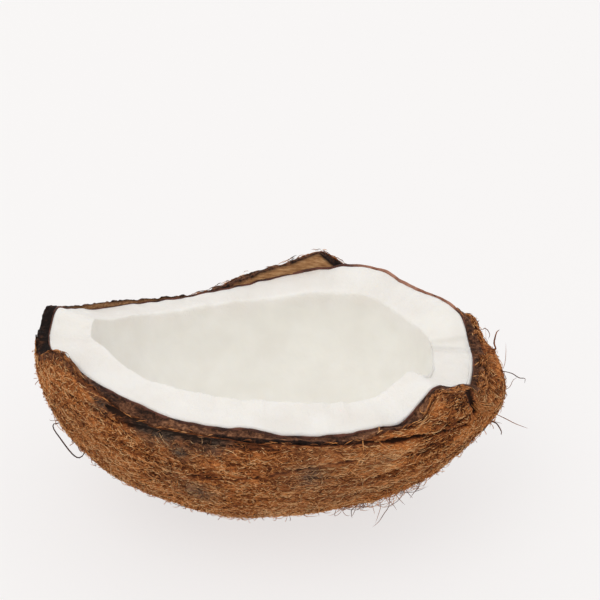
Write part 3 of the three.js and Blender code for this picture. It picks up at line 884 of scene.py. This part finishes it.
def degree_lengths(along, around):
    """How many mm one degree along and one degree around are on the coat, and never near 0."""
    here, _ = nut_surface(along, around, COAT_OUTSIDE)
    one_along, _ = nut_surface(along + 1, around, COAT_OUTSIDE)
    one_around, _ = nut_surface(along, around + 1, COAT_OUTSIDE)
    per_along = np.linalg.norm(one_along - here, axis=-1)
    per_around = np.linalg.norm(one_around - here, axis=-1)
    return np.maximum(per_along, 0.3), np.maximum(per_around, 0.1)


def scatter(random, count, along_range, across_range):
    """Random places spread evenly over the coat's area, as degrees along and around."""
    tries = count * 6
    along = random.uniform(*along_range, tries)
    near, far = coat_rims(along)
    around = near + (far - near) * random.uniform(*across_range, tries)
    per_along, per_around = degree_lengths(along, around)
    area = per_along * per_around * (far - near)
    kept = np.flatnonzero(random.uniform(0, area.max(), tries) < area)[:count]
    return along[kept], around[kept]


def surface_step(along, around, heading, length):
    """Degrees along and around after a step of that many mm at a heading, both as arrays. The
    step is measured with the lengths of one degree along and one degree around."""
    per_along, per_around = degree_lengths(along, around)
    along = along + length * np.cos(heading) / per_along
    around = around + length * np.sin(heading) / per_around
    near, far = coat_rims(np.clip(along, 0.5, 179.5))
    return np.clip(along, 0.5, 179.5), np.clip(around, near, far)


STRIP_BARE = 0.7  # share of strands left out on the husk strip
SPLIT_KEPT_OPEN = 0.4  # strands cross no split deeper than this, in mm
ROOT_DEPTH = 0.1  # their ends lie this deep in the mat


def lying_strands(start, heading, bend, length, height, rings):
    """Routes of strands that lie on the coat, and whether they keep clear of its splits. Each
    starts at its place and heading, turns evenly by its bend, and rises from the mat to its
    height in the middle and back by a sine arch."""
    along, around = start
    route = []
    deepest = np.zeros(len(along))
    for share in np.linspace(0, 1, rings):
        deepest = np.maximum(deepest, split_depth(along, around))
        arch = height * np.sin(np.pi * share) - ROOT_DEPTH
        route.append(nut_surface(along, around, coat_height(along, around) + arch)[0])
        turn = heading + bend * (share - 0.5)
        along, around = surface_step(along, around, turn, length / (rings - 1))
    return np.stack(route, axis=1), deepest < SPLIT_KEPT_OPEN


LOWEST_FIBRE = 0.05  # mm above the surface that the half lies on


def spindle_faces(rings, sides):
    """The triangles of one spindle, whose corners are a point, rings - 2 rings and a point."""
    side = np.arange(sides)
    after = (side + 1) % sides
    last_ring = 1 + (rings - 3) * sides
    faces = [np.stack([0 * side, 1 + side, 1 + after], axis=-1)]
    for low in range(1, last_ring, sides):
        high = low + sides
        faces.append(np.stack([low + side, high + side, high + after], axis=-1))
        faces.append(np.stack([low + side, high + after, low + after], axis=-1))
    tip = 0 * side + last_ring + sides
    faces.append(np.stack([last_ring + side, tip, last_ring + after], axis=-1))
    return np.concatenate(faces)


def spindles(routes, radius, sides=3):
    """Corners and faces of closed spindles along routes (strands x rings x 3): a point at each
    end, and rings between that lie across the route and swell by the root of a sine."""
    count, rings = routes.shape[:2]
    ahead = unit(np.gradient(routes, axis=1))
    across = unit(np.cross(ahead, (0.31, 0.17, 0.93)))
    upward = np.cross(ahead, across)
    taper = np.sin(np.pi * np.linspace(0, 1, rings)) ** 0.5
    angle = (np.arange(sides) * 2 * np.pi / sides)[:, None]
    offset = np.cos(angle) * across[:, :, None] + np.sin(angle) * upward[:, :, None]
    ring = routes[:, :, None] + offset * (radius[:, None] * taper)[..., None, None]
    body = ring[:, 1:-1].reshape(count, -1, 3)
    points = np.concatenate([routes[:, :1], body, routes[:, -1:]], axis=1)
    points[..., 2] = np.maximum(points[..., 2], LOWEST_FIBRE)
    first = points.shape[1] * np.arange(count)[:, None, None]
    return points.reshape(-1, 3), (spindle_faces(rings, sides) + first).reshape(-1, 3)


def bundle(routes, radius, tone, weathering=0.0):
    """Strands by their routes, with a radius in mm, a tone and a weathering, one for each strand
    or one for all."""
    values = {"radius": radius, "tone": tone, "weathering": weathering}
    values = {label: np.broadcast_to(value, len(routes)) for label, value in values.items()}
    return {"routes": routes, **values}


def strand_mesh(name, bundles):
    """One mesh from bundles of strands."""
    corners, faces, start = [], [], 0
    masks = {"tone": [], "weathering": []}
    for strands in bundles:
        points, triangles = spindles(strands["routes"], strands["radius"])
        corners.append(points)
        faces.append(triangles + start)
        start += len(points)
        corners_each = len(points) // len(strands["routes"])
        for label, values in masks.items():
            values.append(np.repeat(np.clip(strands[label], 0, 1), corners_each))
    mesh = bpy.data.meshes.new(name)
    mesh.from_pydata(np.concatenate(corners) * MM, [], np.concatenate(faces))
    for label, values in masks.items():
        add_mask(mesh, label, np.concatenate(values))
    return finished(name, mesh)


strand_material = coir_material("coconut_coir_strands", grain_size=1800, contrast=0.2)

# Short straight strands fill the mat, and longer ones curl over them. Lengths, radii and rises
# are in mm.
STRAND_KINDS = [
    {"count": 20500, "rings": 3, "length": (1.4, 3.4), "bend": 0.6, "rise": 0.11,
     "radius": (0.08, 0.16), "tone": -0.05},
    {"count": 2100, "rings": 6, "length": (2.6, 6.0), "bend": 1.5, "rise": 0.22,
     "radius": (0.06, 0.11), "tone": 0.12},
]
TONE_SPREAD = 0.28
GREY_SHARE = (0.6, 1.1)  # of the mat's weathering
DISORDER = 0.4  # share of strands that lie every way, for each radian that headings stray
EVERY_WAY = 1.6  # radians to either side of lengthwise
LIFT = {"least": 0.1, "shape": 1.5}  # of the strands' arches, in mm, a gamma distribution
# How far headings stray, in radians, by degrees along the nut.
ROPY = ((0, 90, 120, 148, 165), (0.62, 0.5, 0.18, 0.45, 0.95))


def matted_bundle(random, kind, across_range):
    """Strands of one kind. Most lie nearly along the nut and the rest every way, and where the
    headings stray more, there are more of those."""
    along, around = scatter(random, kind["count"], (3.5, 179), across_range)
    bare = random.uniform(0, 1, len(along)) < STRIP_BARE * husk_strip(along, around)
    along, around = along[~bare], around[~bare]
    count = len(along)
    stray = np.interp(along, *ROPY)
    lengthwise = random.normal(0, 1, count) * stray
    anyhow = random.uniform(-EVERY_WAY, EVERY_WAY, count)
    ordered = random.uniform(0, 1, count) < 1 - DISORDER * stray
    heading = np.where(ordered, lengthwise, anyhow)
    heading += np.where(random.uniform(0, 1, count) < 0.5, np.pi, 0)
    bend = random.normal(0, kind["bend"], count) * (0.3 + stray)
    length = random.uniform(*kind["length"], count)
    height = LIFT["least"] + random.gamma(LIFT["shape"], kind["rise"], count)
    tone = coat_tone(along, around) + kind["tone"] + random.normal(0, TONE_SPREAD, count)
    grey = weathering(along, around) * random.uniform(*GREY_SHARE, count)
    radius = random.uniform(*kind["radius"], count)
    routes, clear = lying_strands((along, around), heading, bend, length, height, kind["rings"])
    return bundle(routes[clear], radius[clear], tone[clear], grey[clear])


for name, seed, across_range in (
    ("coir_strands_near", 61, (0.0, 0.36)),
    ("coir_strands_under", 62, (0.32, 0.68)),
    ("coir_strands_far", 63, (0.64, 1.0)),
):
    random = np.random.default_rng(seed)
    bundles = [matted_bundle(random, kind, across_range) for kind in STRAND_KINDS]
    hand_over(strand_mesh(name, bundles), strand_material, "fibre_coat")


# ---- Fibres over the break ----
# At both rims the coat's outermost fibres bend over the broken edge of the shell: nearly all over
# it at the eye end, a fuzz beside the point and single ones between.

RIM_FIBRES = 2600
RIM_SPAN = {"near": (20, 177), "far": (42, 177)}  # degrees along
# By degrees along: the share of fibres kept, and how far in they reach, in mm off the shell.
RIM_COVER = ((0, 18, 20, 45, 118, 126, 140, 180), (0, 0, 0.25, 0.04, 0.04, 0.5, 1, 1))
RIM_REACH = ((0, 118, 135, 180), (-0.6, -0.2, -1.6, -1.8))
RIM_OUTERMOST = 1.2  # mm off the shell
# In mm. The slant is the spread of how much further in one end lies than the other.
RIM_STRAND = {"length": (1.5, 3.5), "lift": (0.1, 0.5), "radius": (0.09, 0.17), "slant": 0.9}
RIM_TONE = (0.45, 0.24)  # middle and spread
RIM_WEATHERING = (0, 0.3)


def rim_bundle(random, rim):
    """Strands beside a rim of the coat. Each keeps to the broken face, which it follows with a
    small slant, from a little over the shell's outside inward to the reach."""
    along = random.uniform(*RIM_SPAN[rim], RIM_FIBRES)
    along = along[random.uniform(0, 1, RIM_FIBRES) < np.interp(along, *RIM_COVER)]
    count, rings = len(along), 4
    per_along, _ = degree_lengths(along, coat_rims(along)[0])
    inward = random.uniform(0, 1, count) ** 1.5
    offset = RIM_OUTERMOST - inward * (RIM_OUTERMOST - np.interp(along, *RIM_REACH))
    slant = random.normal(0, RIM_STRAND["slant"], count)
    length = random.uniform(*RIM_STRAND["length"], count)
    lift = random.uniform(*RIM_STRAND["lift"], count)
    route = []
    for share in np.linspace(-0.5, 0.5, rings):
        at = np.clip(along + share * length / per_along, 1, 179)
        edge = shell_near(at) if rim == "near" else shell_far(at)
        _, per_around = degree_lengths(at, around_at("near", edge))
        around = around_at(rim, edge + lift * (1 - 2 * abs(share)) / per_around)
        route.append(nut_surface(at, around, offset + slant * share)[0])
    radius = random.uniform(*RIM_STRAND["radius"], count)
    tone = random.normal(*RIM_TONE, count)
    return bundle(np.stack(route, axis=1), radius, tone, random.uniform(*RIM_WEATHERING, count))


random = np.random.default_rng(66)
rim_fibres = strand_mesh("coir_rim_fibres", [rim_bundle(random, rim) for rim in ("near", "far")])
hand_over(rim_fibres, strand_material, "fibre_coat")


# ---- Loose hairs ----
# Fine ends of fibre stand out of the mat all over, thicker in tufts under the eye end and on the
# pad, where the husk was torn off. A few long ones curl far out.

# Lengths and radii in mm. The rise is the slope at which a hair leaves the mat.
HAIR_GROUPS = [
    {"count": 800, "along": (6, 172), "across": (0.03, 0.97), "length": (1, 2.4),
     "rise": (0.2, 0.8), "radius": (0.05, 0.1)},
    {"count": 1200, "along": (8, 170), "across": (0.12, 0.88), "length": (1.3, 2.8),
     "rise": (0.9, 2.2), "radius": (0.07, 0.12)},
    {"count": 200, "along": (100, 150), "across": (0.2, 0.6), "length": (2, 5),
     "rise": (0.3, 0.9), "radius": (0.05, 0.1)},
    {"count": 100, "along": (106, 132), "across": (0.24, 0.32), "length": (2.5, 5.5),
     "rise": (0.7, 1.8), "radius": (0.07, 0.11)},
    {"count": 120, "along": (148, 178), "across": (0.05, 0.9), "length": (2, 5),
     "rise": (0.3, 0.9), "radius": (0.05, 0.1)},
]
HAIR_ROOT = 0.3  # mm below the top of the mat
HAIR_CURL = 1.1  # spread of how far a tip bends sideways, as a share of its hair's length
HAIR_CLEARANCE = 0.1  # mm above the surface that the half lies on
HAIR_TONE = (0.5, 0.2)  # middle and spread

LONG_FIBRE_ROOT = 1.5  # mm off the shell, from where its bends are measured
# Each long fibre: its root in degrees along and around, its radius and tone, and its bends in mm
# ahead along the nut, sideways round it and straight out.
LONG_FIBRES = [
    ((40, -135), 0.26, 0.04, [(0, 0, -1), (0.5, 0, 0.5), (1, 0.5, 1.8), (0.6, 1, 3.1),
                              (-0.7, 1, 3.5), (-2.5, 1, 3.4), (-5, 0.5, 3), (-7.5, 0, 2.5),
                              (-10, -0.4, 2), (-11.2, -0.7, 1.2), (-10.6, -1, 0.2),
                              (-9.6, -1, -0.2)]),
    ((41, -131), 0.09, 0.3, [(0, 0, -0.5), (2.5, 0, 0.6), (4.5, 0, 0.4)]),
    ((173, 13), 0.14, 0.3, [(0, 0, -1), (0, 0, 0.5), (0, 0.5, 1), (0.5, 0, 2), (1.5, -1, 2.5),
                            (2.5, -2, 2)]),
    ((179, -170), 0.3, 0.3, [(0, 0, 1), (0, -0.5, 2), (0.5, -1, 2.5), (1.5, -2, 2), (2, -3, 2),
                             (3.5, -4.5, 2.5), (4, -5.5, 3.5)]),
    ((172.5, -163.5), 0.17, 0.1, [(0, 0, 3), (0, 0, 4.5), (0, 0.5, 7), (-0.5, 1, 8.5), (-1, 1, 9.5),
                                  (-1, 1, 11), (-2, 2, 11)]),
    ((166.5, -156.5), 0.1, 0.3, [(0, 0, 4.8), (0.5, -0.5, 5.5), (1.5, -1, 6.5), (3, -2.5, 7),
                                 (4, -3, 8)]),
    ((158, -157.5), 0.14, 0.35, [(0, 0, 3), (0, 0.5, 4.5), (0, 1, 8), (0, 1.5, 11), (0.5, 2, 15)]),
    ((156, -150.5), 0.22, 0.15, [(0, 0, 3), (0.5, 0, 4.5), (0.5, 0, 6), (-0.5, 1, 8),
                                 (-1.5, 1.5, 8.5)]),
    ((157.5, -145.5), 0.1, 0.3, [(0, 0, 3.6), (0.5, 0, 5), (1, 0, 7.5)]),
    ((168.5, 23.5), 0.1, 0.6, [(0, 0, -4.7), (-0.5, 0.5, -5), (-2.5, 1, -6), (-4, 2, -8)]),
    ((110, -130), 0.14, 0.1, [(0.5, 0, -1), (0, 0, 1), (-1.5, 0.5, 2), (-2, 0.5, 3), (-2, 1, 4.5)]),
    ((119, -132), 0.12, 0.3, [(0, 0, -0.5), (0, 0, 1.5), (-1, 1, 4), (-3, 1.5, 5.5), (-5, 2, 7),
                              (-7.5, 2.5, 8)]),
    ((116, -132), 0.09, 0.4, [(0, 0, -0.5), (0, 0.5, 3), (-1.5, 1, 5.5), (-3, 1.5, 7.5)]),
    ((121, -132), 0.11, 0.3, [(0, 0, -0.5), (0, 0, 1), (0.5, 0.5, 3), (1.5, 0.5, 5.5)]),
    ((124, -133), 0.11, 0.3, [(0, 0, -0.5), (0, 0, 1), (0.5, 0.5, 3), (1, 0.5, 4.5)]),
    ((129, -134), 0.13, 0.2, [(0.5, 0, -0.5), (0, 0, 1), (-1.5, 0.5, 2.5), (-3, 1, 3), (-5, 2, 4)]),
    ((114, -131), 0.08, 0.45, [(0, 0, -0.5), (0, 0.5, 3), (0, 0.5, 5)]),
    ((112, -131), 0.12, 0.2, [(0.5, 0, -0.5), (0, 0, 1), (-1.5, 0.5, 2), (-3.5, 1, 2.5)]),
    ((119, -131), 0.1, 0.35, [(0, 0, -0.5), (0, 0.5, 2.5), (0.5, 0.5, 4), (1, 0.5, 6)]),
]

# Pale fibres that lie across the coat, as their places in degrees along and around.
CROSSING_FIBRES = [
    [(105, -166.5), (105.8, -169.8), (107, -172.2), (109.2, -174.5)],
    [(101, -168.2), (104, -166.5), (106.2, -163.5), (108, -160.8)],
    [(109.5, -177.8), (111.5, -176.2), (114.2, -173.8)],
]
# Fibres that lie over the break, with their height over the shell's outside in mm as well.
BREAK_FIBRES = [
    [(108.5, -178, -1.9), (107.3, -177.6, -0.5), (107, -176.5, 0.9), (107, -174, 1.9),
     (106, -172.5, 2.3)],
    [(165.8, -171.5, -4), (165.5, -173.5, -3.3), (166.5, -173, -2.4), (167, -173, -1.2),
     (167.5, -172.5, 0.3)],
    [(171.8, -172, -3.9), (171.5, -176, -3), (173, -176.5, -2), (173.5, -176, -0.8)],
    [(126, -184.5, -3.2), (125, -183.7, -1.7), (125.5, -183.7, -0.7), (126.8, -184.5, 0),
     (127.5, -185, 0.6)],
    [(113, -178.7, -3.9), (111.5, -179.5, -0.4)],
]
CROSSING = {"lift": 0.35, "radius": 0.14, "tone": 0.8}  # mm, mm, 0 to 1

TUFT = {"count": 90, "from": (148, -178), "to": (158, -158), "spread": (1.0, 2.5),
        "lift": (0.1, 0.8), "radius": (0.07, 0.13), "tone": (0.7, 0.12)}


def tuft_bundle(random, rings=6):
    """The bright tuft beside the pad: nearly straight strands between two places, fanned out."""
    count = TUFT["count"]
    stray = random.normal(0, 1, (count, 1, 2)) * TUFT["spread"]
    ends = np.sort(random.uniform(-0.1, 1.1, (count, 2)), axis=1)
    share = ends[:, :1] + (ends[:, 1:] - ends[:, :1]) * np.linspace(0, 1, rings)
    places = TUFT["from"] + share[..., None] * np.subtract(TUFT["to"], TUFT["from"])
    places = places + stray * (0.4 + share[..., None])
    lift = random.uniform(*TUFT["lift"], (count, 1))
    along, around = np.moveaxis(places, -1, 0)
    routes, _ = nut_surface(along, around, coat_height(along, around) + lift)
    radius = random.uniform(*TUFT["radius"], count)
    return bundle(routes, radius, random.normal(*TUFT["tone"], count))


def standing_bundle(random, group, rings=6):
    """Hairs that leave the mat at a slant, curl sideways and droop."""
    along, around = scatter(random, group["count"], group["along"], group["across"])
    count = len(along)
    root, out = nut_surface(along, around, coat_height(along, around) - HAIR_ROOT)
    heading = random.normal(0, 1, (count, 3))
    heading = unit(heading - (heading * out).sum(-1, keepdims=True) * out)
    sideways = np.cross(out, heading)
    length = random.uniform(*group["length"], count)[:, None]
    rise = random.uniform(*group["rise"], count)[:, None]
    curl = random.normal(0, HAIR_CURL, count)[:, None]
    route = []
    for share in np.linspace(0, 1, rings):
        lift = rise * share * (1 - 0.6 * share)
        ahead = share * (1 - 0.4 * share)
        route.append(root + length * (heading * ahead + out * lift + sideways * curl * share**2))
    routes = np.stack(route, axis=1)
    routes = routes[routes[..., 2].min(axis=1) > HAIR_CLEARANCE]
    radius = random.uniform(*group["radius"], len(routes))
    return bundle(routes, radius, random.normal(*HAIR_TONE, len(routes)))


def rounded_route(points, rings):
    """A route of that many points through the given ones, as a Catmull-Rom curve."""
    points = np.asarray(points, float)
    points = np.concatenate([2 * points[:1] - points[1:2], points, 2 * points[-1:] - points[-2:-1]])
    at = np.linspace(0, len(points) - 3, rings)
    piece = np.minimum(at.astype(int), len(points) - 4)
    t = (at - piece)[:, None]
    before, start, end, after = (points[piece + step] for step in range(4))
    bend = (2 * before - 5 * start + 4 * end - after) * t**2
    bend = bend + (3 * (start - end) + after - before) * t**3
    return start + ((end - before) * t + bend) / 2


def long_bundle(rings=20):
    """The long fibres, each from its root in directions ahead, sideways and out."""
    routes = []
    for (along, around), _, _, bends in LONG_FIBRES:
        root, out = (value[0] for value in nut_surface(along, around, LONG_FIBRE_ROOT))
        ahead = nut_surface(along + 0.5, around, LONG_FIBRE_ROOT)[0][0] - root
        sideways = nut_surface(along, around + 0.5, LONG_FIBRE_ROOT)[0][0] - root
        axes = np.array([unit(ahead), unit(sideways), out])
        routes.append(root + rounded_route(bends, rings) @ axes)
    _, radius, tone, _ = zip(*LONG_FIBRES)
    return bundle(np.stack(routes), radius, tone)


def crossing_bundle(rings=14):
    """The fibres that lie across the coat, and those that lie over the break."""
    routes = [nut_surface(*rounded_route(places, rings).T)[0] for places in BREAK_FIBRES]
    for places in CROSSING_FIBRES:
        along, around = rounded_route(places, rings).T
        height = coat_height(along, around) + CROSSING["lift"]
        routes.append(nut_surface(along, around, height)[0])
    return bundle(np.stack(routes), CROSSING["radius"], CROSSING["tone"])


random = np.random.default_rng(71)
bundles = [standing_bundle(random, group) for group in HAIR_GROUPS]
bundles += [tuft_bundle(random), long_bundle(), crossing_bundle()]
hand_over(strand_mesh("coir_hairs", bundles), strand_material, "fibre_coat")


# ---- Studio ----
# A plain pale floor, even daylight from all round, and a large soft lamp high up on the left, on
# the camera's side.

FLOOR_COLOUR = (0.22, 0.215, 0.214)
FLOOR_GLOW = 0.70  # it shines a little by itself, like a table lit from below
FLOOR_HALF_SIZE = 3.0


def floor_material():
    """Dull pale paint that shines a little by itself."""
    material, shader, _, _ = new_material("floor_paint", 0.7, 0.2)
    shader["Base Color"].default_value = (*FLOOR_COLOUR, 1)
    shader["Emission Color"].default_value = (1.0, 0.985, 0.98, 1)
    shader["Emission Strength"].default_value = FLOOR_GLOW
    return material


def make_floor():
    """A square sheet that the half lies on."""
    corners = np.array([(-1, -1, 0), (1, -1, 0), (1, 1, 0), (-1, 1, 0)]) * FLOOR_HALF_SIZE
    mesh = bpy.data.meshes.new("floor")
    mesh.from_pydata(corners, [], [(0, 1, 2, 3)])
    floor = finished("floor", mesh)
    floor.data.materials.append(floor_material())


def make_lamp(name, place, size, power):
    """A square area lamp that looks at the half."""
    lamp = bpy.data.lights.new(name, "AREA")
    lamp.size = size
    lamp.energy = power
    holder = bpy.data.objects.new(name, lamp)
    holder.location = place
    holder.rotation_euler = (-Vector(place)).to_track_quat("-Z", "Y").to_euler()
    bpy.context.scene.collection.objects.link(holder)


def make_daylight(colour, strength):
    """Even light from all round."""
    world = bpy.data.worlds.new("daylight")
    world.use_nodes = True
    sky = world.node_tree.nodes["Background"].inputs
    sky["Color"].default_value = (*colour, 1)
    sky["Strength"].default_value = strength
    bpy.context.scene.world = world


make_floor()
make_lamp("key_lamp", place=(-0.5, -0.35, 1.1), size=0.7, power=2.5)
make_daylight(colour=(1.0, 0.985, 0.97), strength=0.9)
bpy.context.scene.view_settings.view_transform = "Standard"

# The camera stands in front of the near side and looks down on it. It is turned a little off the
# nut's middle, so that the half sits where it should in the frame.
CAMERA_DISTANCE = 0.49
CAMERA_AZIMUTH = math.radians(-4.03)
CAMERA_ELEVATION = math.radians(33.0)
CAMERA_TARGET = Vector((0, 0, 0.025))
CAMERA_TURN = [("X", 4.115), ("Y", -1.064), ("Z", 0.067)]  # about its own axes, in degrees
CAMERA_LENS = 96.07


def make_camera():
    """A camera that looks back along the line from its target, then turned on the spot."""
    level, up = math.cos(CAMERA_ELEVATION), math.sin(CAMERA_ELEVATION)
    back = Vector((math.sin(CAMERA_AZIMUTH) * level, -math.cos(CAMERA_AZIMUTH) * level, up))
    turn = (-back).to_track_quat("-Z", "Y").to_matrix()
    for axis, degrees in CAMERA_TURN:
        turn = turn @ Matrix.Rotation(math.radians(degrees), 3, axis)
    camera = bpy.data.objects.new("camera", bpy.data.cameras.new("camera"))
    camera.data.lens = CAMERA_LENS
    camera.location = CAMERA_TARGET + back * CAMERA_DISTANCE
    camera.rotation_euler = turn.to_euler()
    bpy.context.scene.collection.objects.link(camera)
    bpy.context.scene.camera = camera


make_camera()
